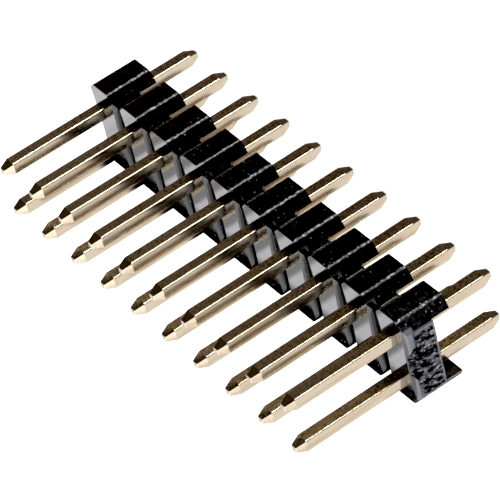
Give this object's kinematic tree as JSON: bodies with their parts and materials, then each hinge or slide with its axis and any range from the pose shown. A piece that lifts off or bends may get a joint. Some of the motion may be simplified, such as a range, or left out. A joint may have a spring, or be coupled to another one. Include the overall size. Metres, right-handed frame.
{
  "type": "double-row pin header strip",
  "caption": "Straight double-row pin header on a 2.54 mm grid: square pointed pins through a black insulator, waisted for snapping, with standoff flanges; one end snapped.",
  "frame": {"origin": "Centre of the grid of tails, in the board face of the insulator (the plane of its standoff flanges).", "axes": "+Z from the board face to the mating side, along the pins. X along the strip, with the snapped end at -X and the moulded end at +X. Y across the two rows."},
  "size_m": [0.0254, 0.005, 0.0113],
  "materials": {
    "insulator": "glossy black moulded thermoplastic",
    "pin_plating": "thin gold plating on drawn square wire"
  },
  "bodies": {
    "root": {"insulator": "insulator", "pin_01": "pin_plating", "pin_02": "pin_plating", "pin_03": "pin_plating", "pin_04": "pin_plating", "pin_05": "pin_plating", "pin_06": "pin_plating", "pin_07": "pin_plating", "pin_08": "pin_plating", "pin_09": "pin_plating", "pin_10": "pin_plating", "pin_11": "pin_plating", "pin_12": "pin_plating", "pin_13": "pin_plating", "pin_14": "pin_plating", "pin_15": "pin_plating", "pin_16": "pin_plating", "pin_17": "pin_plating", "pin_18": "pin_plating", "pin_19": "pin_plating", "pin_20": "pin_plating"}
  },
  "joints": []
}
